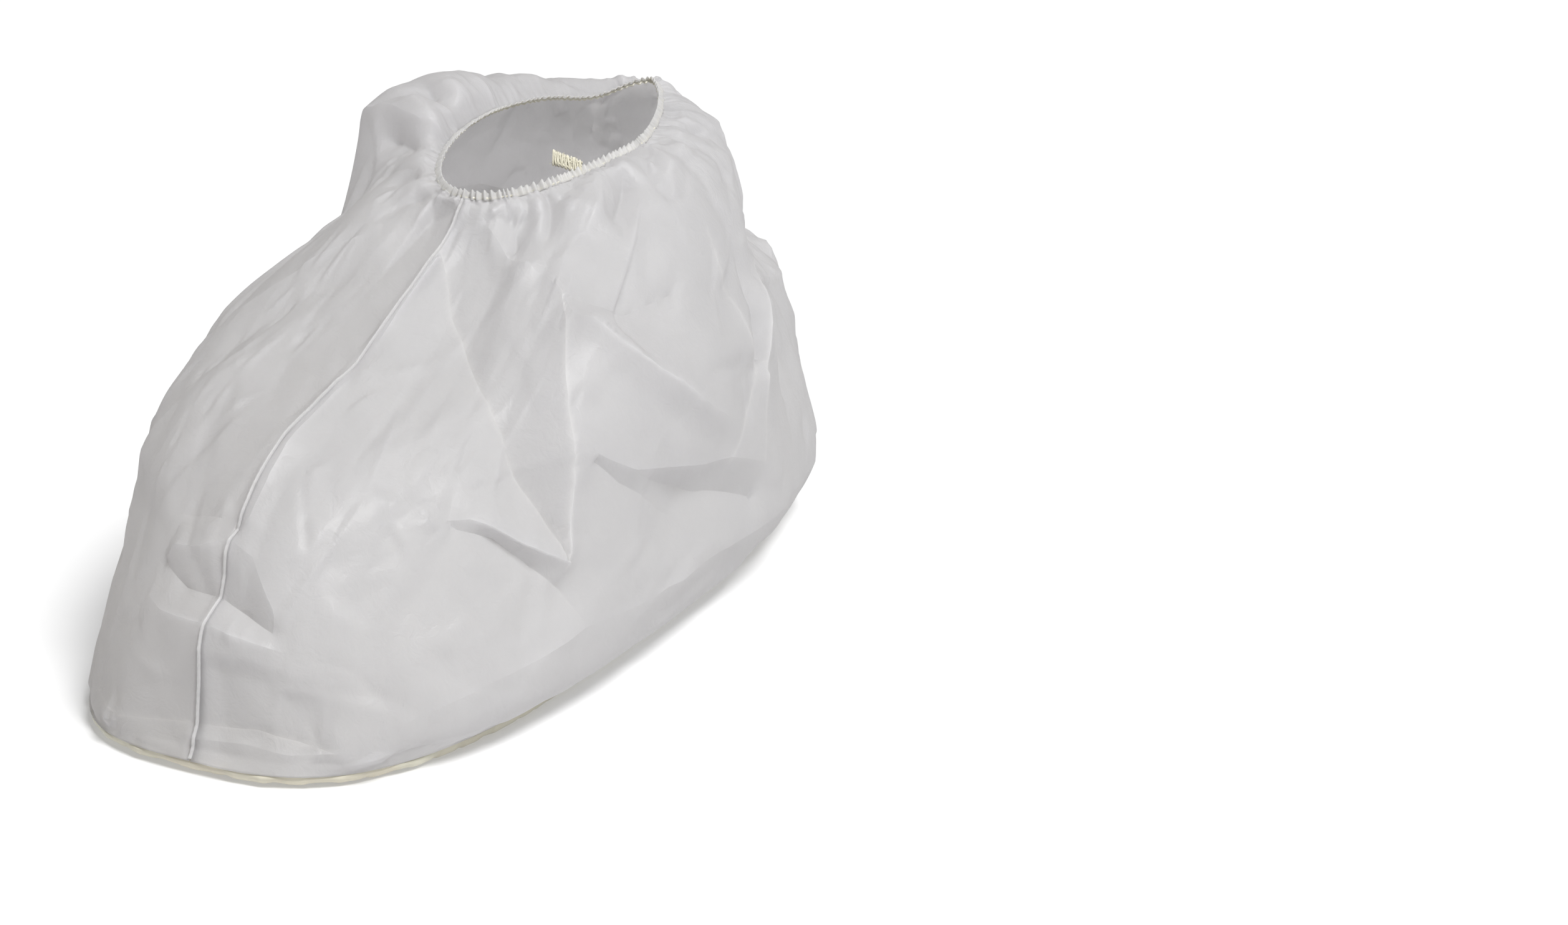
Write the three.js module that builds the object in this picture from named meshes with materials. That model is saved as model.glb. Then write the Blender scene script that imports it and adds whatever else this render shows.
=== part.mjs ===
// Disposable shoe cover: two white film-cloth side panels on a vinyl sole, with a gathered elastic mouth.
// Millimetres, +Z up, toe towards -Y, left side +X. The origin is under the middle of the sole.
import * as THREE from 'three';

// Driving dimensions
const clothWall = 1.2;          // thickness of the film-faced cloth
const pieceGap = 0.3;           // clearance left between sewn pieces
const seamSlot = 0.9;           // half the slot between the panels, which the seam stands in
const panelColumns = 42;        // steps from the toe seam to the heel seam
const panelRows = 24;           // steps from the sole to the mouth

const sole = {
  halfLength: 185,
  halfWidth: 83,
  square: 3.0,                  // how square the rounded ends are, 2 is an ellipse
  sheet: 1.5,
  rimHeight: 5,
  segments: 73,
};

const seam = {
  thickness: 1.2,
  proud: 0.9,                   // how far the sewn edge stands out of the cloth
  allowance: 5,                 // turned-in cloth behind it
  steps: 36,
  start: 0.02,
  end: 0.965,
};

const elastic = {
  halfHeight: 2.5,
  halfThickness: 1.7,
  scallop: 0.5,                 // how far each stitch bulges the edge
  scallops: 44,
  steps: 110,
  sides: 6,
};

const gathers = {
  count: 11,                    // on each panel
  height: 1.5,
  fadeStart: 0.76,
};

const tail = {
  length: 12,
  width: 5,
  thickness: 1.5,
  taper: 0.3,                   // share of the width lost at its tip
  wave: 0.7,
  waves: 3,
  steps: 18,
  around: 0.90,                 // where the thread end leaves the elastic
  heading: 240,                 // degrees from +X, as seen from above
};

// Levels from the sole's edge up to the mouth. Each one is a rounded oblong loop:
// front and back are the points on the toe and heel seams, left and right the widest points.
const levels = table(
  ['frontY', 'frontZ', 'backY', 'backZ', 'leftX', 'leftZ', 'rightX', 'rightZ',
    'sideY', 'frontSquare', 'backSquare'],
  [
    [-185, 5, 185, 5, 83, 5, 83, 5, 0, 3.0, 3.0],
    [-182, 14, 190, 15, 95, 10, 85, 14, 2, 2.95, 2.75],
    [-178, 32, 193, 34, 99.5, 27, 87, 31, 4, 2.65, 2.65],
    [-173, 50, 194, 55, 98, 50, 88, 52, 8, 2.35, 2.5],
    [-162, 70, 192, 76, 93, 76, 89, 74, 14, 2.2, 2.4],
    [-146, 86, 186, 96, 88, 97, 88.5, 94, 22, 2.25, 2.3],
    [-122, 101, 179, 113, 81, 116, 84, 113, 32, 2.25, 2.2],
    [-88, 111, 176, 128, 74, 133, 78, 132, 44, 2.2, 2.3],
    [-48, 126, 172, 142, 63, 148, 70, 150, 58, 2.1, 2.3],
    [-14, 141, 168, 155, 52, 160, 59, 167, 70, 2.1, 2.3],
    [0, 153, 161, 164, 36, 163, 44, 171, 77, 2.2, 2.2],
    [4, 157, 155, 165, 22, 157, 32, 166, 80, 2.2, 2.2],
  ],
);

// Folds. A fold runs from one place on a panel, through a second, to a third. Around is 0 at the toe seam,
// 1 at the widest point and 2 at the heel seam. Up is 0 at the sole and 1 at the mouth.
// Rise is the height of a ridge, or less than zero for a valley, and the widths are its two flanks.
const foldColumns = [
  'fromAround', 'fromUp', 'midAround', 'midUp', 'toAround', 'toUp', 'rise', 'upperWidth', 'lowerWidth',
];
const folds = {
  left: table(foldColumns, [
    [0.04, 0.81, 0.38, 0.65, 0.72, 0.29, 5.0, 42, 60],      // long crease from the instep down the side
    [0.61, 0.68, 0.71, 0.48, 0.72, 0.29, -5.0, 45, 34],     // crease that meets its foot
    [0.66, 0.64, 0.86, 0.50, 1.05, 0.35, 4.0, 46, 16],      // slanting fold under the ankle
    [0.72, 0.43, 0.90, 0.35, 1.25, 0.27, 6.0, 46, 13],      // overhanging fold at half height
    [0.89, 0.36, 1.00, 0.28, 1.12, 0.21, -3.0, 16, 20],     // its branch
    [0.44, 0.41, 0.56, 0.38, 0.72, 0.29, 3.5, 34, 12],      // upper edge of the wedge fold
    [0.53, 0.38, 0.64, 0.30, 0.82, 0.18, -3.0, 12, 34],     // lower edge of the wedge fold
    [0.40, 0.08, 0.80, 0.17, 1.25, 0.12, 3.0, 46, 18],      // line where the cloth turns under
    [0.00, 0.35, 0.06, 0.33, 0.15, 0.28, -9.0, 26, 12],     // buckle across the toe
    [0.00, 0.12, 0.15, 0.14, 0.32, 0.04, 3.5, 24, 8],       // pleat at the toe's foot
    [0.27, 0.92, 0.31, 0.84, 0.37, 0.78, -4.0, 16, 14],     // gather below the front of the mouth
    [0.60, 0.88, 0.80, 0.84, 0.88, 0.75, 3.5, 20, 16],      // rounded ankle fold
    [1.04, 0.74, 1.10, 0.57, 1.14, 0.40, 4.0, 30, 26],      // upright ridge before the heel
    [1.08, 0.58, 1.40, 0.58, 2.00, 0.57, -13.0, 44, 26],    // waist above the heel
  ]),
  right: table(foldColumns, [
    [0.00, 0.35, 0.09, 0.34, 0.20, 0.33, -9.0, 26, 12],     // buckle across the toe
    [0.00, 0.11, 0.08, 0.13, 0.16, 0.16, 3.0, 20, 10],      // pleat at the toe's foot
    [0.05, 0.76, 0.21, 0.70, 0.58, 0.47, -3.5, 26, 22],     // crease along the instep
    [0.45, 0.97, 0.70, 0.74, 1.20, 0.59, -16.0, 22, 40],    // deep fold between instep and ankle
    [0.70, 0.90, 1.00, 0.87, 1.35, 0.84, 3.5, 26, 34],      // full ankle beyond the mouth
    [1.68, 0.94, 1.72, 0.84, 1.74, 0.68, -12.0, 24, 22],    // dip behind the ankle
    [1.10, 0.58, 1.45, 0.59, 2.00, 0.57, -13.0, 44, 26],    // waist above the heel
    [0.60, 0.30, 1.00, 0.38, 1.50, 0.30, 5.0, 40, 18],      // overhanging fold at half height
    [0.40, 0.08, 0.85, 0.16, 1.25, 0.12, 3.0, 46, 18],      // line where the cloth turns under
  ]),
};
const foldForm = {
  steps: 10,                    // straight pieces that a fold's line is cut into
  sharpness: 1.6,               // 1 gives straight flanks, more gives hollow ones
  edgeFade: 0.06,               // folds die out this near to the sole and the mouth
  startShare: 0.25,             // part of its length that a fold grows over
  endShare: 0.33,               // part of its length that it dies out over
};
const gatherGrowth = 1.3;       // how fast the gathers grow towards the elastic
const mouthLead = 0.03;         // step down the cloth that gives its slope at the mouth

function table(columns, rows) {
  return rows.map((row) => Object.fromEntries(columns.map((name, place) => [name, row[place]])));
}

// A smooth curve through one column of the level table
function levelValue(column, up) {
  const last = levels.length - 1;
  const place = Math.min(Math.max(up, 0), 1) * last;
  const lower = Math.min(Math.floor(place), last - 1);
  const share = place - lower;
  const here = levels[lower][column];
  const next = levels[lower + 1][column];
  const before = lower > 0 ? levels[lower - 1][column] : 2 * here - next;
  const after = lower + 2 <= last ? levels[lower + 2][column] : 2 * next - here;
  const slope = (next - before) / 2;
  const bend = before - 2.5 * here + 2 * next - 0.5 * after;
  const turn = 1.5 * (here - next) + (after - before) / 2;
  return here + share * (slope + share * (bend + share * turn));
}

// The smooth cloth before folding: side is +1 on the left panel and -1 on the right one
function smoothPoint(side, around, up) {
  const angle = around * Math.PI / 2;
  const along = Math.cos(angle);
  const across = Math.max(Math.sin(angle), 0);
  const end = along >= 0 ? 'front' : 'back';
  const flank = side > 0 ? 'left' : 'right';
  const power = 2 / levelValue(end + 'Square', up);
  const sideY = levelValue('sideY', up);
  const sideZ = levelValue(flank + 'Z', up);
  return new THREE.Vector3(
    side * levelValue(flank + 'X', up) * across ** power,
    sideY + (levelValue(end + 'Y', up) - sideY) * Math.abs(along) ** power,
    sideZ + (levelValue(end + 'Z', up) - sideZ) * along ** 2,
  );
}

function smoothNormal(side, around, up) {
  const step = 0.01;
  const ahead = smoothPoint(side, Math.min(around + step, 2), up);
  const behind = smoothPoint(side, Math.max(around - step, 0), up);
  const above = smoothPoint(side, around, Math.min(up + step, 1));
  const below = smoothPoint(side, around, Math.max(up - step, 0));
  const normal = ahead.sub(behind).cross(above.sub(below));
  return normal.multiplyScalar(side).normalize();
}

// The line of each fold, laid on the smooth cloth
function foldLine(side, fold) {
  const line = [];
  for (let step = 0; step <= foldForm.steps; step += 1) {
    const share = step / foldForm.steps;
    const sway = 4 * share * (1 - share);
    const around = THREE.MathUtils.lerp(fold.fromAround, fold.toAround, share)
      + sway * (fold.midAround - (fold.fromAround + fold.toAround) / 2);
    const up = THREE.MathUtils.lerp(fold.fromUp, fold.toUp, share)
      + sway * (fold.midUp - (fold.fromUp + fold.toUp) / 2);
    line.push({ share, around, up, point: smoothPoint(side, around, up) });
  }
  return line;
}

const foldLines = {
  left: folds.left.map((fold) => ({ fold, line: foldLine(1, fold) })),
  right: folds.right.map((fold) => ({ fold, line: foldLine(-1, fold) })),
};

// A fold starts at full height on a seam and from nothing elsewhere
function foldTaper(fold, share) {
  const rises = fold.fromAround === 0 ? 1 : Math.min(share / foldForm.startShare, 1);
  const falls = fold.toAround === 2 ? 1 : Math.min((1 - share) / foldForm.endShare, 1);
  return rises * falls;
}

function foldHeight(side, around, up) {
  const point = smoothPoint(side, around, up);
  let height = 0;
  for (const { fold, line } of foldLines[side > 0 ? 'left' : 'right']) {
    let nearest = { distance: Infinity };
    for (let step = 0; step < foldForm.steps; step += 1) {
      const from = line[step];
      const to = line[step + 1];
      const piece = new THREE.Line3(from.point, to.point);
      const within = piece.closestPointToPointParameter(point, true);
      const distance = piece.at(within, new THREE.Vector3()).distanceTo(point);
      if (distance < nearest.distance) {
        const above = (to.around - from.around) * (up - from.up) - (to.up - from.up) * (around - from.around);
        nearest = { distance, above, share: THREE.MathUtils.lerp(from.share, to.share, within) };
      }
    }
    const width = nearest.above >= 0 ? fold.upperWidth : fold.lowerWidth;
    const flank = Math.max(1 - nearest.distance / width, 0);
    height += fold.rise * foldTaper(fold, nearest.share) * flank ** foldForm.sharpness;
  }
  const fade = Math.min(up / foldForm.edgeFade, (1 - up) / foldForm.edgeFade, 1);
  return height * fade;
}

// Ripples that grow towards the elastic
function gatherHeight(around, up) {
  const grown = Math.max((up - gathers.fadeStart) / (1 - gathers.fadeStart), 0);
  const turns = gathers.count * around / 2;
  return gathers.height * grown ** gatherGrowth * Math.cos(turns * 2 * Math.PI);
}

function clothPoint(side, around, up) {
  const lift = foldHeight(side, around, up) + gatherHeight(around, up);
  return smoothPoint(side, around, up).addScaledVector(smoothNormal(side, around, up), lift);
}

// Two triangles for a quad
function quad(faces, first, second, third, fourth) {
  faces.push(first, second, third, first, third, fourth);
}

// The same, split along the shorter diagonal, so that a fold's ridge isn't cut to steps
function foldedQuad(faces, points, first, second, third, fourth) {
  const across = points[first].distanceTo(points[third]);
  const other = points[second].distanceTo(points[fourth]);
  if (across <= other) quad(faces, first, second, third, fourth);
  else quad(faces, second, third, fourth, first);
}

function geometryOf(points, faces) {
  const geometry = new THREE.BufferGeometry();
  const numbers = points.flatMap((point) => point.toArray());
  geometry.setAttribute('position', new THREE.Float32BufferAttribute(numbers, 3));
  geometry.setIndex(faces);
  geometry.computeVertexNormals();
  return geometry;
}

// A loop of closed sections: every section has the same number of points, and ends are capped if open
function loftSections(sections, closed) {
  const points = sections.flat();
  const sides = sections[0].length;
  const faces = [];
  const spans = closed ? sections.length : sections.length - 1;
  for (let span = 0; span < spans; span += 1) {
    const here = span * sides;
    const next = ((span + 1) % sections.length) * sides;
    for (let side = 0; side < sides; side += 1) {
      const beside = (side + 1) % sides;
      quad(faces, here + side, here + beside, next + beside, next + side);
    }
  }
  if (!closed) {
    const last = (sections.length - 1) * sides;
    for (let side = 1; side < sides - 1; side += 1) {
      faces.push(0, side + 1, side);
      faces.push(last, last + side, last + side + 1);
    }
  }
  return geometryOf(points, faces);
}

// A side panel: the folded outer skin, the inner skin one wall behind it, and the four edges
function panelGeometry(side) {
  const outer = [];
  const skin = [];
  const width = panelColumns + 1;
  for (let row = 0; row <= panelRows; row += 1) {
    for (let column = 0; column <= panelColumns; column += 1) {
      outer.push(clothPoint(side, 2 * column / panelColumns, row / panelRows));
    }
  }
  const clearOfNeighbours = (point) => {
    point.x = side * Math.max(side * point.x, seamSlot);
    point.z = Math.max(point.z, sole.rimHeight);
    return point;
  };
  outer.forEach(clearOfNeighbours);
  for (let row = 0; row < panelRows; row += 1) {
    for (let column = 0; column < panelColumns; column += 1) {
      const corner = row * width + column;
      foldedQuad(skin, outer, corner, corner + 1, corner + width + 1, corner + width);
    }
  }
  if (side < 0) skin.reverse();
  const normals = geometryOf(outer, skin).getAttribute('normal');
  const inner = outer.map((point, place) => {
    const normal = new THREE.Vector3().fromBufferAttribute(normals, place);
    return clearOfNeighbours(point.clone().addScaledVector(normal, -clothWall));
  });

  const behind = outer.length;
  const faces = [...skin, ...skin.map((place) => place + behind).reverse()];
  const rim = [];
  for (let column = 0; column < panelColumns; column += 1) rim.push(column);
  for (let row = 0; row < panelRows; row += 1) rim.push(row * width + panelColumns);
  for (let column = panelColumns; column > 0; column -= 1) rim.push(panelRows * width + column);
  for (let row = panelRows; row > 0; row -= 1) rim.push(row * width);
  rim.forEach((place, step) => {
    const next = rim[(step + 1) % rim.length];
    const edge = [];
    quad(edge, place, place + behind, next + behind, next);
    faces.push(...(side > 0 ? edge : edge.reverse()));
  });
  return geometryOf([...outer, ...inner], faces);
}

// The sole: a flat sheet whose edge turns up to the panels
function soleGeometry() {
  const rim = sole.rimHeight - pieceGap;
  const rings = table(['inset', 'height'], [
    [8, 0],                     // flat underside
    [3, 1],
    [0.8, 2.6],
    [0, rim],                   // top of the turned-up edge
    [sole.sheet, rim],
    [sole.sheet + 1.2, 3.3],
    [8.5, sole.sheet],          // floor inside
  ]);
  const ringAt = ({ inset, height }) => {
    const ring = [];
    for (let step = 0; step < sole.segments; step += 1) {
      const angle = 2 * Math.PI * step / sole.segments;
      const along = Math.cos(angle);
      const across = Math.sin(angle);
      const power = 2 / sole.square;
      ring.push(new THREE.Vector3(
        Math.sign(across) * (sole.halfWidth - inset) * Math.abs(across) ** power,
        -Math.sign(along) * (sole.halfLength - inset) * Math.abs(along) ** power,
        height,
      ));
    }
    return ring;
  };
  return loftSections(rings.map(ringAt), false);
}

// A seam: a thin upright strip between the panels' edges, from the sole to the elastic
function seamGeometry(around) {
  const half = seam.thickness / 2;
  const sections = [];
  for (let step = 0; step <= seam.steps; step += 1) {
    const up = THREE.MathUtils.lerp(seam.start, seam.end, step / seam.steps);
    const middle = clothPoint(1, around, up).setX(0);
    const out = smoothNormal(1, around, up).setX(0).normalize();
    const corner = (x, height) => middle.clone().addScaledVector(out, height).setX(x);
    sections.push([
      corner(-half, -seam.allowance),
      corner(half, -seam.allowance),
      corner(half, seam.proud),
      corner(-half, seam.proud),
    ]);
  }
  if (around === 0) sections.reverse();
  return loftSections(sections, false);
}

// A place on the mouth: the panel's edge, the way on into the mouth, and the way out through the cloth
function mouthPlace(side, around) {
  const edge = clothPoint(side, around, 1);
  const inward = edge.clone().sub(clothPoint(side, around, 1 - mouthLead)).normalize();
  return { edge, inward, outward: smoothNormal(side, around, 1) };
}

// The elastic: a scalloped ring that carries on from the panels' upper edges
function elasticGeometry() {
  const sections = [];
  for (let step = 0; step < elastic.steps; step += 1) {
    const turn = 4 * step / elastic.steps;
    const side = turn <= 2 ? 1 : -1;
    const around = turn <= 2 ? turn : 4 - turn;
    const { edge, inward, outward } = mouthPlace(side, around);
    const scallop = elastic.scallop * Math.cos(elastic.scallops * turn * Math.PI / 2);
    const middle = edge.addScaledVector(inward, elastic.halfHeight + pieceGap);
    const section = [];
    for (let corner = 0; corner < elastic.sides; corner += 1) {
      const angle = 2 * Math.PI * corner / elastic.sides;
      section.push(middle.clone()
        .addScaledVector(inward, elastic.halfHeight * Math.cos(angle))
        .addScaledVector(outward, (elastic.halfThickness + scallop) * Math.sin(angle) - clothWall / 2));
    }
    sections.push(section);
  }
  return loftSections(sections, true);
}

// The thread tail: a short wavy tuft that lies level, pointing into the mouth
function tailGeometry() {
  const edgePoint = (step, edge) => {
    const share = step / tail.steps;
    const wave = tail.wave * Math.sin(share * tail.waves * 2 * Math.PI);
    const half = tail.width / 2 * (1 - tail.taper * share);
    return new THREE.Vector2(share * tail.length, edge * half + wave);
  };
  const outline = [];
  for (let step = 0; step <= tail.steps; step += 1) outline.push(edgePoint(step, 1));
  for (let step = tail.steps; step >= 0; step -= 1) outline.push(edgePoint(step, -1));
  const shape = new THREE.Shape(outline);
  const geometry = new THREE.ExtrudeGeometry(shape, { depth: tail.thickness, bevelEnabled: false });
  geometry.translate(0, 0, -tail.thickness / 2);
  geometry.rotateX(Math.PI / 2);
  return geometry;
}

const cloth = new THREE.MeshStandardMaterial({ color: 0xe9e8ea, roughness: 0.55, metalness: 0 });
const stitching = new THREE.MeshStandardMaterial({ color: 0xf1f0ec, roughness: 0.7, metalness: 0 });
const vinyl = new THREE.MeshStandardMaterial({ color: 0xd6d1b6, roughness: 0.4, metalness: 0 });
const thread = new THREE.MeshStandardMaterial({ color: 0xe0dcc0, roughness: 0.9, metalness: 0 });

function addPiece(group, name, geometry, material) {
  const mesh = new THREE.Mesh(geometry, material);
  mesh.name = name;
  group.add(mesh);
  return mesh;
}

const shoeCover = new THREE.Group();
addPiece(shoeCover, 'sole', soleGeometry(), vinyl);
addPiece(shoeCover, 'left_panel', panelGeometry(1), cloth);
addPiece(shoeCover, 'right_panel', panelGeometry(-1), cloth);
addPiece(shoeCover, 'toe_seam', seamGeometry(0), stitching);
addPiece(shoeCover, 'heel_seam', seamGeometry(2), stitching);
addPiece(shoeCover, 'ankle_elastic', elasticGeometry(), stitching);

const threadTail = addPiece(shoeCover, 'thread_tail', tailGeometry(), thread);
const tailRoot = mouthPlace(1, tail.around);
threadTail.position.copy(tailRoot.edge).addScaledVector(tailRoot.inward, 2 * (elastic.halfHeight + pieceGap));
threadTail.rotation.z = THREE.MathUtils.degToRad(tail.heading);

export default shoeCover;
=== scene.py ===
import math

import bmesh
import bpy
import numpy as np
from mathutils import Matrix, Vector, kdtree
from mathutils.geometry import delaunay_2d_cdt


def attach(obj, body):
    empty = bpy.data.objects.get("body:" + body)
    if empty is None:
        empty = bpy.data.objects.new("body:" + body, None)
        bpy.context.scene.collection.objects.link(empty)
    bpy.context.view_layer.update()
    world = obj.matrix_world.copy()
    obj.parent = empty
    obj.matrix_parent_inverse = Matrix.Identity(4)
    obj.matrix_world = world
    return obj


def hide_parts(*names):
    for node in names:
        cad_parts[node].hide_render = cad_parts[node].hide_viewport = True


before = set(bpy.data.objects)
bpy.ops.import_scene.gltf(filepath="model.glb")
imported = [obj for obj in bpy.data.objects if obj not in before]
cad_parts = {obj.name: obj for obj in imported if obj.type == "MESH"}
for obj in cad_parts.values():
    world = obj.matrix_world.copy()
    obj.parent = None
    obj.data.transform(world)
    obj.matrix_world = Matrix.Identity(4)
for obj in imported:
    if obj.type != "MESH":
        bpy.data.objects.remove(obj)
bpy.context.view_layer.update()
millimetre = 0.001  # shapes are worked out in millimetres and scaled once, when a piece is finished
print("frame loaded:", ", ".join(sorted(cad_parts)))

# The camera stands where the photograph was taken from. The cover stands in the left half of the picture.
photoView = dict(
    width=2515, azimuth=30.0, elevation=22.9, distance=1.6, turnRight=4.79, turnUp=1.84, roll=1.68, focalPixels=6680,
    sensor=36.0,
)


def addObject(name, data):
    thing = bpy.data.objects.new(name, data)
    bpy.context.scene.collection.objects.link(thing)
    return thing


def backDirection(azimuth, elevation):
    a, e = math.radians(azimuth), math.radians(elevation)
    return Vector((math.sin(a) * math.cos(e), -math.cos(a) * math.cos(e), math.sin(e)))


def addCamera():
    data = bpy.data.cameras.new("photoCamera")
    data.sensor_width = photoView["sensor"]
    data.lens = photoView["focalPixels"] / photoView["width"] * photoView["sensor"]
    camera = addObject("photoCamera", data)
    back = backDirection(photoView["azimuth"] - photoView["turnRight"],
                         photoView["elevation"] - photoView["turnUp"])
    right = Vector((0, 0, 1)).cross(back).normalized()
    turn = Matrix((right, back.cross(right), back)).transposed()
    roll = Matrix.Rotation(math.radians(photoView["roll"]), 3, "Z")
    place = backDirection(photoView["azimuth"], photoView["elevation"]) * photoView["distance"]
    camera.matrix_world = Matrix.Translation(place) @ (turn @ roll).to_4x4()
    bpy.context.scene.camera = camera


addCamera()
print("camera placed")

# Levels from the sole's edge up to the mouth. Each one is a rounded oblong loop: front and back are the points
# on the toe and heel seams, left and right the widest points, and square says how square its ends are.
clothLevels = dict(
    frontY=[-185, -182, -178, -173, -162, -146, -122, -88, -48, -14, 0, 4],
    frontZ=[5, 14, 32, 50, 70, 86, 101, 111, 126, 141, 153, 157],
    backY=[185, 190, 193, 194, 192, 186, 179, 176, 172, 168, 161, 155],
    backZ=[5, 15, 34, 55, 76, 96, 113, 128, 142, 155, 164, 165],
    leftX=[83, 95, 99.5, 98, 93, 88, 81, 74, 63, 52, 42, 33],
    leftZ=[5, 10, 27, 50, 76, 97, 116, 133, 148, 158.5, 161.5, 162],
    rightX=[83, 85, 87, 88, 89, 88.5, 84, 78, 70, 59, 44, 32],
    rightZ=[5, 14, 31, 52, 74, 94, 113, 132, 151, 170, 175, 166],
    sideY=[0, 2, 4, 8, 14, 22, 32, 44, 58, 70, 77, 80],
    frontSquare=[3.0, 2.95, 2.65, 2.35, 2.2, 2.25, 2.25, 2.2, 2.1, 2.1, 2.2, 2.2],
    backSquare=[3.0, 2.75, 2.65, 2.5, 2.4, 2.3, 2.2, 2.3, 2.3, 2.1, 1.75, 1.35],
)
rimSag = dict(place=1.58, width=0.16, depth=4.0, growth=10)  # the far rim sags near the heel


def levelValue(name, up):  # a smooth curve through one column of the levels
    column = np.array(clothLevels[name], float)
    last = len(column) - 1
    place = ramp(up) * last
    lower = np.minimum(np.floor(place).astype(int), last - 1)
    share = place - lower
    padded = np.concatenate([[2 * column[0] - column[1]], column, [2 * column[-1] - column[-2]]])
    before, here, after, beyond = (padded[lower + step] for step in range(4))
    slope = (after - before) / 2
    bend = before - 2.5 * here + 2 * after - 0.5 * beyond
    turn = 1.5 * (here - after) + (beyond - before) / 2
    return here + share * (slope + share * (bend + share * turn))


def unit(vectors):
    return vectors / np.maximum(np.linalg.norm(vectors, axis=-1, keepdims=True), 1e-9)


def ramp(value):  # held between 0 and 1
    return np.clip(value, 0, 1)


def runAlong(line):  # the distance run at each point of a line
    return np.concatenate([[0], np.cumsum(np.linalg.norm(np.diff(line, axis=0), axis=1))])


def vary(rng, form, name):  # a value of a form, made larger or smaller within its range
    return form[name] * rng.uniform(*form[name + "s"])


def eitherWay(rng, reach):
    return rng.uniform(-reach, reach)


def smoothPoint(side, around, up):  # around: 0 toe seam, 1 widest, 2 heel seam. up: 0 sole, 1 mouth
    around, up = np.broadcast_arrays(np.asarray(around, float), np.asarray(up, float))
    along = np.cos(around * math.pi / 2)
    across = np.maximum(np.sin(around * math.pi / 2), 0)
    flank = "left" if side > 0 else "right"

    def ofEnd(name):
        return np.where(along >= 0, levelValue("front" + name, up), levelValue("back" + name, up))

    power = 2 / ofEnd("Square")
    sideY, sideZ = levelValue("sideY", up), levelValue(flank + "Z", up)
    sag = rimSag["depth"] * np.exp(-((around - rimSag["place"]) / rimSag["width"]) ** 2) if side < 0 else 0
    return np.stack([
        side * levelValue(flank + "X", up) * across ** power,
        sideY + (ofEnd("Y") - sideY) * np.abs(along) ** power,
        sideZ + (ofEnd("Z") - sideZ) * along ** 2 - sag * up ** rimSag["growth"],
    ], -1)


def smoothNormal(side, around, up, step=0.01):
    ahead = smoothPoint(side, np.minimum(around + step, 2), up)
    behind = smoothPoint(side, np.maximum(around - step, 0), up)
    above = smoothPoint(side, around, np.minimum(up + step, 1))
    below = smoothPoint(side, around, np.maximum(up - step, 0))
    return unit(np.cross(ahead - behind, above - below) * side)


# The seams' lines: place up the seam, and how far it stands out from the smooth cloth
toeSeamLine = [
    (0.0, 0), (0.05, -0.5), (0.08, 0), (0.11, -1.5), (0.15, -1), (0.19, 0.5), (0.24, 2.5), (0.28, 2),
    (0.32, -5), (0.35, -4), (0.38, 0.5), (0.40, 1), (0.42, -1.5), (0.44, 0.5), (0.50, 2.5), (0.56, 2.5),
    (0.64, 1.5), (0.67, -1), (0.71, 1), (0.75, 1.5), (0.79, 2), (0.82, 1), (0.87, 0), (0.91, 0), (1.0, 0),
]
heelSeamLine = [
    (0.0, 0), (0.1, 0), (0.22, 1), (0.4, 2), (0.46, 1), (0.57, -13), (0.66, -6), (0.78, 0), (0.9, 0), (1.0, 0),
]

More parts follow.
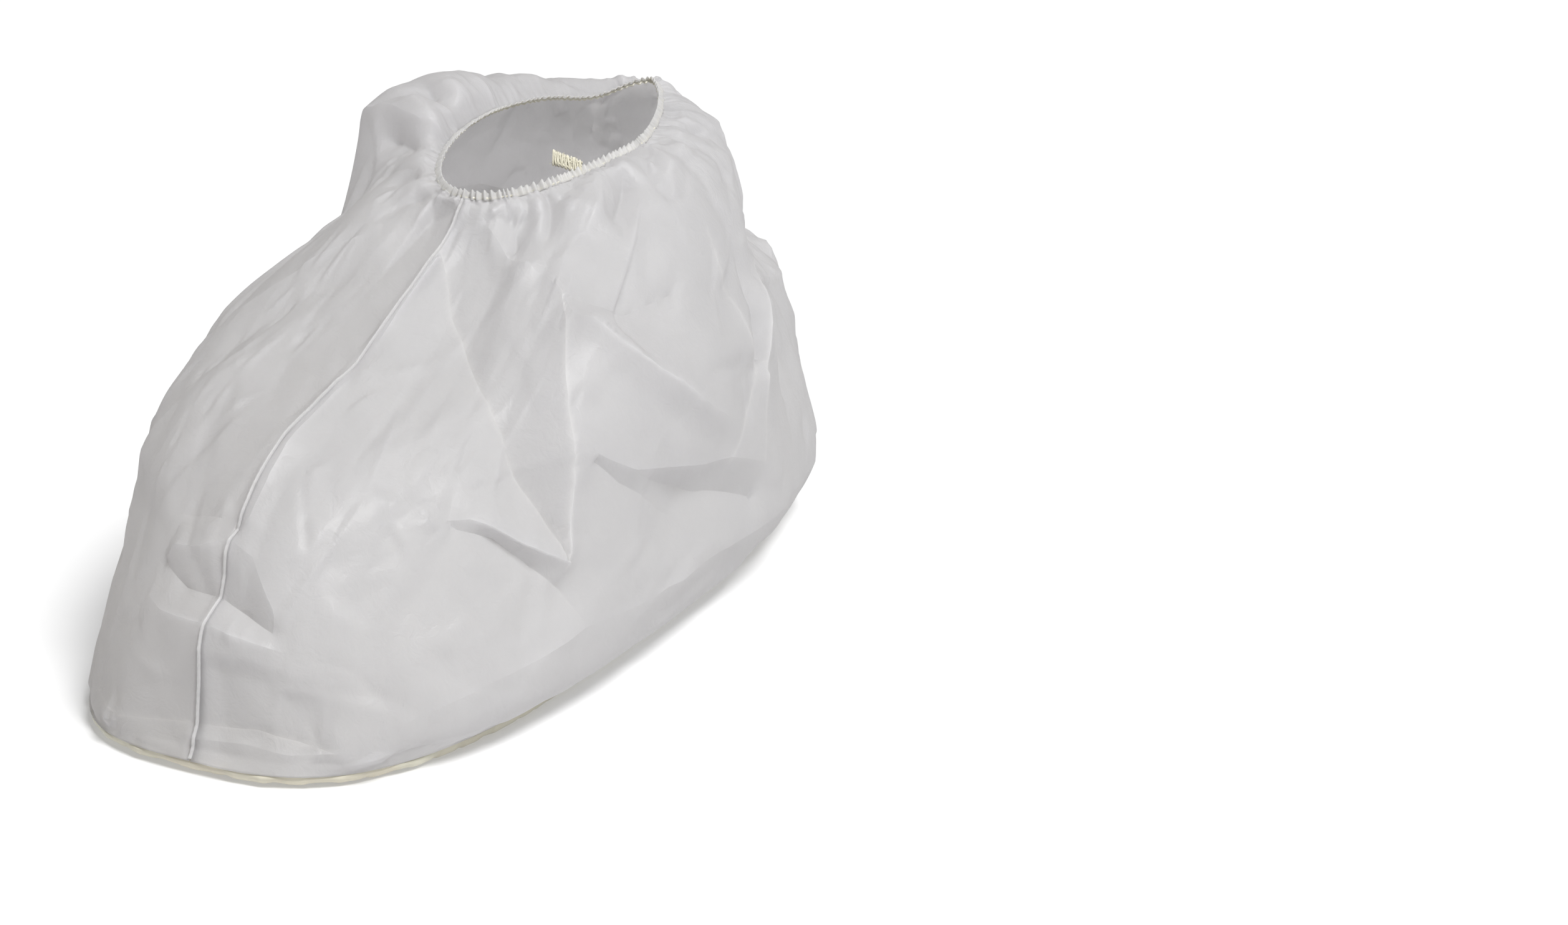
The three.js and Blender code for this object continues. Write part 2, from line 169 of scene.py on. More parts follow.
# The creases of each panel. A crease is a row of places: around, up, and how far the cloth stands out there.
leftCreases = dict(
    instepTuck=[(0.0, 0.82, 1), (0.10, 0.78, -3), (0.16, 0.75, -6), (0.24, 0.72, -8), (0.34, 0.67, -9.5),
        (0.45, 0.61, -10.5), (0.57, 0.53, -12), (0.62, 0.46, -11), (0.65, 0.41, -9), (0.69, 0.35, -4.5),
        (0.72, 0.30, 1.5)],
    sideCrease=[(0.58, 0.70, 1), (0.62, 0.65, 2.5), (0.65, 0.59, 3.5), (0.68, 0.53, 4.5), (0.70, 0.46, 5),
        (0.71, 0.40, 4.5), (0.71, 0.34, 3), (0.72, 0.30, 1.5)],
    gatherSlant=[(0.17, 0.87, 1), (0.31, 0.80, 2.5), (0.41, 0.77, 2), (0.50, 0.74, 1), (0.58, 0.70, 1)],
    ankleSlant=[(0.58, 0.70, 1), (0.64, 0.65, 2), (0.69, 0.62, 4.5), (0.79, 0.55, 8.5), (0.89, 0.48, 11),
        (1.0, 0.40, 9.5), (1.04, 0.36, 7)],
    ankleBranch=[(0.58, 0.70, 1), (0.70, 0.65, -1), (0.76, 0.63, -2.5), (0.83, 0.61, -2.5), (0.95, 0.60, -0.5)],
    halfFold=[(0.70, 0.46, 5), (0.78, 0.41, 5.5), (0.83, 0.38, 6), (0.94, 0.35, 7), (1.04, 0.32, 6),
        (1.13, 0.28, 3)],
    halfFoldUnder=[(0.75, 0.42, 3), (0.81, 0.37, 2), (0.88, 0.33, 1), (0.95, 0.29, 0)],
    halfFoldNext=[(0.86, 0.36, 4), (0.96, 0.32, 0), (1.05, 0.27, -1), (1.10, 0.24, -1)],
    wedgeTop=[(0.47, 0.41, -5), (0.52, 0.40, -2.5), (0.56, 0.38, -1), (0.63, 0.34, 1), (0.72, 0.30, 1.5)],
    wedgeUnder=[(0.47, 0.41, -5), (0.50, 0.39, -5), (0.58, 0.36, -5.5), (0.66, 0.31, -5), (0.72, 0.27, -3.5),
        (0.77, 0.21, 3)],
    turnUnder=[(0.36, 0.13, 0.5), (0.53, 0.17, 2), (0.77, 0.21, 3), (0.92, 0.20, 3.5), (1.0, 0.20, 3.5),
        (1.25, 0.17, 2.5), (1.6, 0.13, 0.5)],
    turnFoot=[(0.45, 0.06, 0), (0.65, 0.06, 0), (0.85, 0.07, 0), (1.05, 0.07, 0), (1.25, 0.07, 0), (1.6, 0.06, 0)],
    heelRidge=[(1.06, 0.67, 0.5), (1.08, 0.61, 2), (1.13, 0.51, 3), (1.16, 0.40, 3), (1.12, 0.37, 3),
        (1.04, 0.32, 6)],
    heelTuck=[(1.17, 0.66, 0), (1.19, 0.56, -2), (1.18, 0.47, -1.5), (1.17, 0.41, 0.5)],
    backEdge=[(1.33, 0.57, -4), (1.27, 0.56, 0), (1.24, 0.51, 4), (1.20, 0.45, 5), (1.17, 0.37, 4.5),
        (1.13, 0.28, 3)],
    heelWaist=[(1.22, 0.61, 0), (1.33, 0.57, -4), (1.40, 0.57, -8), (1.55, 0.58, -11), (1.67, 0.55, -13),
        (1.79, 0.58, -12), (1.90, 0.56, -14), (2.0, 0.57, -13)],
    heelFace=[(1.40, 0.57, -8), (1.37, 0.50, -3), (1.35, 0.43, -6), (1.32, 0.34, -6), (1.30, 0.25, -1)],
    heelShelf=[(1.44, 0.48, -3), (1.56, 0.45, 0), (1.68, 0.48, 0.5), (1.80, 0.45, 1.5), (1.91, 0.47, 0.5),
        (2.0, 0.46, 1)],
    toeBuckle=[(0.0, 0.32, -5), (0.07, 0.30, -4), (0.13, 0.28, 0)],
    toeBuckleTop=[(0.0, 0.40, 1), (0.06, 0.38, 1.2), (0.13, 0.31, 1.5), (0.13, 0.28, 0)],
    toeLedge=[(0.0, 0.28, 2), (0.06, 0.27, 3), (0.12, 0.26, 2.5), (0.17, 0.25, 0.5)],
    toePleat=[(0.0, 0.11, -1.5), (0.08, 0.12, -1.5), (0.17, 0.11, -1), (0.26, 0.09, 0.5)],
    seamStep=[(0.02, 0.43, 1.5), (0.02, 0.50, 4), (0.02, 0.56, 4), (0.02, 0.63, 3), (0.02, 0.66, 0.5)],
    seamStepUpper=[(0.02, 0.69, 1), (0.02, 0.73, 2.6), (0.02, 0.77, 3), (0.02, 0.81, 2)],
    toePleatUnder=[(0.0, 0.08, 0), (0.06, 0.09, 0.5), (0.16, 0.08, 1), (0.26, 0.09, 0.5)],
)
rightCreases = dict(
    instepRidge=[(0.12, 0.83, 1), (0.30, 0.78, 4), (0.42, 0.72, 4.5), (0.50, 0.66, 2), (0.58, 0.60, 0),
        (0.70, 0.47, 0), (0.80, 0.36, 1.5)],
    ankleNotch=[(0.42, 0.92, -2), (0.52, 0.85, -6), (0.62, 0.78, -10), (0.72, 0.73, -13), (0.87, 0.67, -13),
        (1.05, 0.62, -9), (1.22, 0.59, -2)],
    ankleRidge=[(0.66, 0.92, 1), (0.74, 0.87, 4), (0.84, 0.82, 7), (0.98, 0.75, 9), (1.12, 0.67, 6), (1.22, 0.59, -2)],
    toeBuckle=[(0.0, 0.32, -5), (0.09, 0.32, -4.5), (0.18, 0.34, -1)],
    toeBuckleTop=[(0.0, 0.40, 1), (0.06, 0.38, 2), (0.14, 0.37, 2.5), (0.18, 0.34, -1)],
    toeHollow=[(0.03, 0.43, -1), (0.08, 0.43, -1.5), (0.15, 0.42, -1), (0.22, 0.40, 0)],
    toeLedge=[(0.0, 0.28, 2), (0.06, 0.28, 2), (0.12, 0.28, 1.5), (0.18, 0.29, 0.5)],
    toePleat=[(0.0, 0.11, -1.5), (0.06, 0.10, -1), (0.16, 0.08, 1), (0.28, 0.10, 0.5)],
    sideCrease=[(0.80, 0.56, 1.5), (0.85, 0.45, -2), (0.80, 0.36, 1.5)],
    halfFold=[(0.80, 0.36, 1.5), (0.95, 0.37, 4), (1.10, 0.36, 4), (1.30, 0.31, 2.5)],
    halfFoldUnder=[(0.80, 0.36, 1.5), (0.96, 0.32, -1), (1.12, 0.30, -1), (1.30, 0.31, 2.5)],
    sideSlant=[(1.0, 0.55, 1), (1.12, 0.46, 2.5), (1.30, 0.31, 2.5)],
    heelWaist=[(1.22, 0.59, -2), (1.38, 0.60, -9), (1.50, 0.57, -12), (1.63, 0.59, -12), (1.76, 0.56, -14),
        (1.88, 0.58, -12), (2.0, 0.57, -13)],
    heelShelf=[(1.35, 0.48, -3), (1.48, 0.46, 0), (1.60, 0.49, -0.5), (1.73, 0.45, 1.5), (1.87, 0.48, 0.5),
        (2.0, 0.46, 1)],
    turnUnder=[(0.35, 0.13, 0), (0.60, 0.17, 1), (0.85, 0.19, 2), (1.05, 0.17, 2), (1.30, 0.15, 1.5),
        (1.6, 0.13, 0.5)],
    wedgeTop=[(0.42, 0.34, 0.5), (0.58, 0.32, 2.5), (0.80, 0.36, 1.5)],
    wedgeUnder=[(0.42, 0.34, 0.5), (0.60, 0.27, 0), (0.85, 0.19, 2)],
    mouthDip=[(1.68, 0.94, -2), (1.72, 0.84, -10), (1.74, 0.70, -6)],
)
# creases painted whiter: partly the film's own whitening, partly a painted highlight along their crests
wearAndHighlightCreases = ("instepTuck", "sideCrease", "heelRidge", "backEdge", "toePleat")
panel = dict(
    columns=300, rows=148, wall=0.5, seed=20, span=(200.0, 210.0), seamHalf=0.35, seamReach=2.0,
    seamFade=5.0, lap=0.3, lapReach=0.02, snap=0.45, rounds=500, pull=1.96, soften=0.35, sharp=5.0, wearHighlightWidth=0.8,
    wearHighlightReach=6.0, wearHighlightSteps=16,
)


def edgeFade(up, reach):
    return ramp(np.minimum(up, 1 - up) / reach)


def snapToCreases(creases):  # the grid's points next to a crease move onto it, and stand out as it does
    size = np.array([panel["columns"], panel["rows"]])
    cells = np.stack(np.meshgrid(np.arange(size[0] + 1), np.arange(size[1] + 1), indexing="ij"), -1).astype(float)
    stand = np.zeros(cells.shape[:2])
    held = np.zeros(cells.shape[:2], bool)
    for crease in creases.values():
        line = np.array(crease) * (size[0] / 2, size[1], 1)
        for start, end in zip(line[:-1], line[1:]):
            along = 0 if abs(end[0] - start[0]) >= abs(end[1] - start[1]) else 1
            low, high = sorted((start[along], end[along]))
            for step in range(math.ceil(low), math.floor(high) + 1):
                spot = start + (end - start) * (step - start[along]) / (end[along] - start[along])
                cell = tuple(np.round(spot[:2]).astype(int))
                if held[cell] or not 0 < cell[0] < size[0] or not 0 < cell[1] < size[1]:
                    continue
                cells[cell] += np.clip(spot[:2] - cells[cell], -panel["snap"], panel["snap"])
                stand[cell], held[cell] = spot[2], True
    return cells[..., 0] * 2 / size[0], cells[..., 1] / size[1], stand, held


def spreadStand(stand, held, up):  # the cloth runs evenly from crease to crease, as a stretched skin does
    for edge, line in ((0, toeSeamLine), (-1, heelSeamLine)):
        heights, outs = np.array(line).T
        stand[edge] = np.interp(up[edge], heights, outs)
    free = ~held
    checker = np.indices(stand.shape).sum(0) % 2
    inner = (slice(1, -1), slice(1, -1))
    for turn in range(panel["rounds"] * 2):
        mean = (stand[:-2, 1:-1] + stand[2:, 1:-1] + stand[1:-1, :-2] + stand[1:-1, 2:]) / 4
        moves = free[inner] & (checker[inner] == turn % 2)
        stand[inner] += np.where(moves, panel["pull"] * (mean - stand[inner]), 0)
    return stand


def triangleBlend(corners, triangles, values, spots, slack=1e-6):  # the corners' values, drawn straight between
    result = np.zeros(len(spots))
    waiting = np.ones(len(spots), bool)
    for triangle in triangles:
        shape = corners[list(triangle)]
        inBox = (spots >= shape.min(0) - slack).all(1) & (spots <= shape.max(0) + slack).all(1)
        near = np.nonzero(waiting & inBox)[0]
        if not len(near):
            continue
        sides = np.stack([shape[1] - shape[0], shape[2] - shape[0]], 1)
        shares = np.linalg.solve(sides, (spots[near] - shape[0]).T).T
        weights = np.concatenate([1 - shares.sum(1, keepdims=True), shares], 1)
        inside = (weights > -slack).all(1)
        result[near[inside]] = weights[inside] @ values[list(triangle)]
        waiting[near[inside]] = False
    return result


# Smaller folds: around and up at the start, the middle and the end, then the height and the widths of both flanks
leftFolds = [
    (0.17, 0.65, 0.24, 0.55, 0.25, 0.48, 0.8, 2, 2),  # packing crease beside the toe seam
    (0.25, 0.48, 0.21, 0.38, 0.09, 0.24, 0.8, 2, 2),
    (0.0, 0.67, 0.11, 0.67, 0.24, 0.71, 1.5, 2, 5),  # pinch across the toe seam
    (0.27, 0.93, 0.31, 0.84, 0.37, 0.78, -3.0, 12, 9),  # gathers below the front of the mouth
    (0.48, 0.97, 0.46, 0.86, 0.47, 0.79, -3.0, 5, 5),
    (0.40, 0.95, 0.42, 0.87, 0.40, 0.80, 1.5, 7, 7),
    (0.50, 0.90, 0.62, 0.82, 0.74, 0.78, 4.5, 20, 16),  # rounded ankle fold and the hollows round it
    (0.82, 0.92, 0.77, 0.83, 0.70, 0.77, -7, 12, 8),
    (0.93, 0.95, 0.92, 0.81, 1.0, 0.74, -3.5, 10, 8),
    (0.58, 0.70, 0.82, 0.53, 1.10, 0.31, 4.5, 28, 10),  # steep lower flank of the ankle slant
    (1.02, 0.93, 1.10, 0.80, 1.14, 0.66, -2.0, 10, 12),  # long gathers behind the ankle
    (1.16, 0.94, 1.24, 0.80, 1.27, 0.66, -2.5, 10, 12),
    (1.36, 0.94, 1.40, 0.82, 1.42, 0.72, -2.0, 10, 12),
    (0.10, 0.20, 0.25, 0.18, 0.42, 0.15, 0.8, 8, 6),  # soft folds over the toe
    (0.30, 0.22, 0.36, 0.18, 0.50, 0.13, -0.8, 8, 6),
    (0.50, 0.34, 0.56, 0.33, 0.61, 0.30, 0.5, 4, 4),
    (0.33, 0.43, 0.40, 0.42, 0.46, 0.43, 0.5, 4, 4),
    (1.60, 0.57, 1.62, 0.50, 1.58, 0.40, -2.2, 6, 10),  # folds over the heel
    (1.78, 0.57, 1.76, 0.49, 1.80, 0.38, 2.0, 8, 5),
    (1.90, 0.56, 1.89, 0.48, 1.92, 0.38, -1.8, 6, 8),
    (1.52, 0.42, 1.62, 0.30, 1.66, 0.16, 1.8, 5, 16),
    (1.90, 0.40, 1.81, 0.28, 1.75, 0.12, -1.8, 14, 6),
]
rightFolds = [
    (0.0, 0.67, 0.10, 0.66, 0.22, 0.66, 1.5, 2, 5),  # pinch across the toe seam
    (0.16, 0.78, 0.40, 0.64, 0.47, 0.44, -4.5, 34, 13),  # step down the vamp
    (0.56, 0.95, 0.66, 0.87, 0.80, 0.80, -5.0, 7, 12),  # folds of the far ankle
    (0.92, 0.93, 0.88, 0.85, 0.90, 0.77, -4.0, 7, 10),
    (0.20, 0.93, 0.26, 0.86, 0.30, 0.80, -2.0, 10, 10),  # gathers at the front of the mouth
    (0.36, 0.94, 0.42, 0.88, 0.44, 0.83, -3.0, 5, 8),
    (0.64, 0.96, 0.76, 0.90, 0.86, 0.86, 2.5, 6, 8),
    (0.80, 0.95, 0.90, 0.89, 1.02, 0.83, -5.0, 8, 12),
    (1.20, 0.95, 1.22, 0.88, 1.22, 0.80, -2.0, 9, 9),
    (1.45, 0.95, 1.45, 0.88, 1.44, 0.80, -2.0, 9, 9),
    (1.50, 0.58, 1.52, 0.50, 1.48, 0.39, -2.4, 6, 11),  # folds over the heel
    (1.68, 0.57, 1.66, 0.50, 1.70, 0.39, 2.0, 8, 5),
    (1.86, 0.57, 1.88, 0.49, 1.84, 0.38, -2.0, 6, 9),
    (1.42, 0.46, 1.50, 0.32, 1.62, 0.18, 2.0, 5, 18),
    (1.88, 0.38, 1.76, 0.28, 1.70, 0.12, -1.8, 14, 6),
    (1.05, 0.52, 1.22, 0.46, 1.40, 0.36, 1.8, 6, 20),
]
fold = dict(steps=10, sharpness=1.5, edgeFade=0.03, startShare=0.25, endShare=0.33)

# Places where the cloth is pinched, with the reach of their crinkles and how many there are
leftPinches = [
    (0.0, 0.67, 14, 8), (0.0, 0.43, 14, 8), (0.04, 0.31, 14, 8), (0.0, 0.11, 12, 7), (0.72, 0.30, 10, 4),
    (0.72, 0.44, 11, 6), (0.60, 0.68, 13, 5), (0.20, 0.90, 14, 8), (0.50, 0.92, 12, 6), (0.95, 0.90, 14, 6),
    (0.31, 0.80, 10, 5), (1.16, 0.39, 10, 5), (0.22, 0.10, 14, 5), (0.46, 0.40, 12, 4), (1.29, 0.53, 12, 5),
    (0.15, 0.28, 12, 4), (0.95, 0.60, 12, 4),
]
rightPinches = [
    (0.32, 0.79, 22, 14), (0.20, 0.70, 14, 8), (0.40, 0.70, 20, 9), (0.28, 0.60, 16, 6), (0.36, 0.86, 14, 8),
    (0.44, 0.52, 13, 5), (0.20, 0.34, 12, 6), (0.55, 0.84, 18, 8), (0.0, 0.67, 14, 7), (0.0, 0.43, 14, 7),
    (0.16, 0.08, 14, 5), (0.80, 0.36, 12, 5), (1.22, 0.59, 14, 6), (0.95, 0.37, 12, 4), (1.30, 0.31, 12, 4),
]
heelPinches = [  # on both panels
    (1.56, 0.57, 18, 8), (1.68, 0.56, 18, 8), (1.80, 0.57, 18, 8), (1.92, 0.56, 18, 8), (1.52, 0.46, 14, 6),
    (1.70, 0.47, 14, 6), (1.90, 0.46, 14, 6),
]
crinkle = dict(rise=0.7, width=1.8, shortest=0.5, bow=0.25, gap=0.1, rises=(0.5, 1.2), widths=(0.8, 1.5))
crumple = dict(
    layers=[dict(spacing=46, height=1.4), dict(spacing=21, height=1.05), dict(spacing=9, height=0.5)],
    margin=0.08, fade=0.05,
)
paper = dict(  # faint creases from handling
    seed=50, count=75, rise=1.1, rises=(0.3, 1), sharp=2.0, sharps=(0.8, 1.4), soft=16.0, softs=(0.5, 1.2),
    shortest=22.0, longest=85.0, bow=0.12, lowStart=(0.08, 0.10), highStart=(1.85, 0.82), aroundEnds=(0.05, 1.9),
    upEnds=(0.08, 0.85),
)
gather = dict(
    pitch=0.105, height=2.3, length=0.16, width=0.042, jitter=0.4, drift=0.25, lengths=(0.5, 1.4),
    heights=(0.5, 1.2), widths=(0.7, 1.3), hem=0.03, hemShare=0.4, sharpness=1.2,
)
pucker = dict(
    pitch=9.0, jitter=0.4, height=0.7, heights=(-0.7, 1), width=9.0, widths=(0.3, 0.7), reach=0.07, stretch=1.15,
    hem=0.012,
)

# The elastic draws the mouth up into fine ruffles of uneven pitch, which run on down into the cloth
ruffle = dict(
    seed=31, samples=801, lastTurn=3.9999, lead=0.03, rise=0.5, shortest=1.4, longest=4.0, weakest=0.3, height=1.0,
    farShare=0.4, farTurns=(0, 1.7, 2.0, 3.0, 3.6, 4), shortFade=0.045, longFade=0.15, longShare=0.25,
    fades=(0.5, 1.4), growth=1.5,
)


def mouthPlace(turn):  # turn runs 0 to 4 round the mouth: the left panel's edge, then the right one's
    turn = np.mod(turn, 4)
    left = turn <= 2
    around = np.where(left, turn, 4 - turn)
    edge, lower = np.zeros((len(turn), 3)), np.zeros((len(turn), 3))
    for side, mine in ((1, left), (-1, ~left)):
        top = np.ones(mine.sum())
        edge[mine] = smoothPoint(side, around[mine], top)
        lower[mine] = smoothPoint(side, around[mine], top - ruffle["lead"])
    inward = unit(unit(edge - lower) * (1 - ruffle["rise"]) + np.array([0, 0, ruffle["rise"]]))
    return edge, inward


def layRuffles():
    rng = np.random.default_rng(ruffle["seed"])
    turns = np.linspace(0, 4, ruffle["samples"])
    edge = mouthPlace(np.minimum(turns, ruffle["lastTurn"]))[0]
    run = runAlong(edge)
    places = [0.0]
    while places[-1] < run[-1]:
        places.append(places[-1] + rng.uniform(ruffle["shortest"], ruffle["longest"]))
    places = np.array(places) * run[-1] / places[-1]
    strength = rng.uniform(ruffle["weakest"], 1, len(places))
    far = np.interp(np.interp(places, run, turns), ruffle["farTurns"], (0, 0, 1, 1, 0, 0))
    strength *= 1 - far * (1 - ruffle["farShare"])
    isLong = rng.uniform(0, 1, len(places)) < ruffle["longShare"]
    fade = np.where(isLong, ruffle["longFade"], ruffle["shortFade"])
    fade = fade * rng.uniform(*ruffle["fades"], len(places))
    strength[-1], fade[-1] = strength[0], fade[0]
    return turns, run, places, strength, fade


ruffles = layRuffles()


def ruffleAt(turn):  # how far a ruffle stands out, -1 to 1, and how far down the cloth it reaches
    turns, run, places, strength, fade = ruffles
    along = np.interp(np.mod(turn, 4), turns, run)
    beat = np.interp(along, places, np.arange(len(places)))
    return np.cos(beat * 2 * math.pi) * np.interp(along, places, strength), np.interp(along, places, fade)


def foldLine(side, start, middle, end):
    share = np.linspace(0, 1, fold["steps"] + 1)[:, None]
    places = start + (end - start) * share + 4 * share * (1 - share) * (middle - (start + end) / 2)
    return places, smoothPoint(side, *places.T)


def nearestOn(points, start, end):  # how far along a segment each point lies, and its distance from it
    span = end - start
    share = ramp((points - start) @ span / max(span @ span, 1e-9))
    return share, np.linalg.norm(points - start - share[:, None] * span, axis=1)


def foldLift(side, around, up, points, rows):
    lift = np.zeros(len(around))
    for row in rows:
        rise, upperWidth, lowerWidth = row[6:]
        places, line = foldLine(side, *np.reshape(row[:6], (3, 2)))
        reach = max(upperWidth, lowerWidth)
        near = np.nonzero((points > line.min(0) - reach).all(1) & (points < line.max(0) + reach).all(1))[0]
        distance = np.full(len(near), np.inf)
        place, above = np.zeros(len(near)), np.zeros(len(near))
        for step in range(fold["steps"]):
            within, away = nearestOn(points[near], line[step], line[step + 1])
            better = away < distance
            stepAround, stepUp = places[step + 1] - places[step]
            across = stepAround * (up[near] - places[step, 1]) - stepUp * (around[near] - places[step, 0])
            distance = np.where(better, away, distance)
            above = np.where(better, across, above)
            place = np.where(better, (step + within) / fold["steps"], place)
        width = np.where(above >= 0, upperWidth, lowerWidth)
        taper = np.minimum(place / fold["startShare"], 1) * np.minimum((1 - place) / fold["endShare"], 1)
        lift[near] += rise * taper * ramp(1 - distance / width) ** fold["sharpness"]
    return lift * edgeFade(up, fold["edgeFade"])


def clothStep(turn, length):  # a step in millimetres, as a step around and up
    return np.array([math.cos(turn), math.sin(turn)]) * length / panel["span"]


def crinkleRows(pinches, rng):  # short creases that fan out from each pinch
    rows = []
    for around, up, reach, count in pinches:
        for turn in rng.uniform(0, 2 * math.pi, count):
            far = clothStep(turn, reach * rng.uniform(crinkle["shortest"], 1))
            bow = np.array([-far[1], far[0]]) * eitherWay(rng, crinkle["bow"])
            start = np.array([around, up]) + far * crinkle["gap"]
            rise = rng.choice((-1, 1)) * vary(rng, crinkle, "rise")
            width = vary(rng, crinkle, "width")
            rows.append((*start, *(start + far / 2 + bow), *(start + far), rise, width, width))
    return [row for row in rows if min(row[0], row[2], row[4]) > 0]


def paperRows(rng):  # long faint creases, steep on one flank and gentle on the other
    rows = []
    for _ in range(paper["count"]):
        start, turn = rng.uniform(paper["lowStart"], paper["highStart"]), rng.uniform(0, 2 * math.pi)
        far = clothStep(turn, rng.uniform(paper["shortest"], paper["longest"]))
        middle = start + far / 2 + np.array([-far[1], far[0]]) * eitherWay(rng, paper["bow"])
        rise = vary(rng, paper, "rise") * rng.choice((-1, 1))
        widths = [vary(rng, paper, "sharp"), vary(rng, paper, "soft")]
        rows.append((*start, *middle, *(start + far), rise, *widths[::rng.choice((-1, 1))]))
    (lowAround, highAround), (lowUp, highUp) = paper["aroundEnds"], paper["upEnds"]
    return [row for row in rows if lowAround < row[4] < highAround and lowUp < row[5] < highUp]


def crumpleLift(around, up, rng):  # small flat facets, as in handled paper
    spots = np.stack([around, up], 1) * panel["span"]
    span = np.array(panel["span"]) * (2, 1)
    farCorners = [(-1, -1), (2, -1), (2, 2), (-1, 2)]
    lift = np.zeros(len(around))
    for layer in crumple["layers"]:
        count = int(span[0] * span[1] / layer["spacing"] ** 2)
        scatter = rng.uniform(-crumple["margin"], 1 + crumple["margin"], (count, 2))
        corners = np.concatenate([scatter, farCorners]) * span
        heights = rng.normal(0, layer["height"], len(corners))
        cut = delaunay_2d_cdt([Vector(corner) for corner in corners], [], [], 0, 1e-5)
        order = [source[0] for source in cut[3]]
        triangles = [tuple(order[corner] for corner in face) for face in cut[2]]
        lift += triangleBlend(corners, triangles, heights, spots)
    return lift * edgeFade(up, crumple["fade"])


def gatherLift(side, around, up, rng):  # the ruffles run out below the elastic, and some pleats run on
    stand, fade = ruffleAt(around if side > 0 else 4 - around)
    lift = ruffle["height"] * stand * ramp((up - 1 + fade) / fade) ** ruffle["growth"]
    for place in np.arange(gather["pitch"] / 2, 2, gather["pitch"]):
        place = place + eitherWay(rng, gather["jitter"]) * gather["pitch"]
        reach = vary(rng, gather, "length")
        height = vary(rng, gather, "height") * rng.choice((-1, 1))
        width = vary(rng, gather, "width")
        drift = eitherWay(rng, gather["drift"])
        grown = ramp((up - 1 + reach) / reach) * np.clip((1 - up) / gather["hem"], gather["hemShare"], 1)
        offset = np.abs(around - place - drift * (1 - up))
        lift += height * grown * ramp(1 - offset / width) ** gather["sharpness"]
    return lift


def puckerLift(around, up, rng):  # the cloth is sewn to the sole in small puckers
    lift = np.zeros(len(around))
    along = around * panel["span"][0] * pucker["stretch"]
    fade = ramp(1 - up / pucker["reach"])
    for place in np.arange(0, along.max(), pucker["pitch"]):
        place = place + eitherWay(rng, pucker["jitter"]) * pucker["pitch"]
        height = vary(rng, pucker, "height")
        width = vary(rng, pucker, "width")
        lift += height * ramp(1 - np.abs(along - place) / width) * fade
    return lift * ramp(up / pucker["hem"])


def creaseWearAndHighlight(side, points, creases):  # the film whitens along a sharp crease, and the crest is painted brighter there as a highlight
    wearHighlightMask = np.zeros(len(points))
    for name in filter(creases.get, wearAndHighlightCreases):
        row = np.array(creases[name])
        corners = np.arange(len(row))
        steps = np.linspace(0, len(row) - 1, panel["wearHighlightSteps"] * len(row))
        line = smoothPoint(side, np.interp(steps, corners, row[:, 0]), np.interp(steps, corners, row[:, 1]))
        for start, end in zip(line[:-1], line[1:]):
            near = np.nonzero(np.linalg.norm(points - start, axis=1) < panel["wearHighlightReach"])[0]
            away = nearestOn(points[near], start, end)[1]
            wearHighlightMask[near] = np.maximum(wearHighlightMask[near], ramp(1 - away / panel["wearHighlightWidth"]))
    return wearHighlightMask


def gridMesh(columns, rows):  # a flat grid and the place of each of its vertices, 0 to 1 both ways
    mesh = bmesh.new()
    bmesh.ops.create_grid(mesh, x_segments=columns, y_segments=rows, size=1)
    return mesh, (np.array([vert.co[:2] for vert in mesh.verts]) + 1) / 2


def moveVerts(verts, points):
    for vert, point in zip(verts, points):
        vert.co = point


def meshObject(name, mesh):
    data = bpy.data.meshes.new(name)
    mesh.to_mesh(data)
    mesh.free()
    return addObject(name, data)


def finishPiece(name, mesh, material, slotName, *nodes):
    bmesh.ops.scale(mesh, vec=(millimetre,) * 3, verts=mesh.verts)
    for face in mesh.faces:
        face.smooth = True
    piece = meshObject(name, mesh)
    piece.data.materials.append(material)
    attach(piece, "root")
    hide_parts(*nodes)
    print("made", name, "with", len(piece.data.polygons), "faces")
    return piece


def addWall(piece, thickness):
    wall = piece.modifiers.new("wall", "SOLIDIFY")
    wall.thickness = thickness * millimetre
    wall.offset = -1
    wall.use_rim = True


def seamPoint(around, up):  # a point on the toe seam or the heel seam
    heights, outs = np.array(toeSeamLine if around == 0 else heelSeamLine).T
    place = np.full(len(up), float(around))
    out = smoothNormal(1, place, up)
    out[:, 0] = 0
    out = unit(out)
    return smoothPoint(1, place, up) + out * np.interp(up, heights, outs)[:, None], out


panelRows = {
    1: (leftCreases, leftFolds, leftPinches),
    -1: (rightCreases, rightFolds, rightPinches),
}


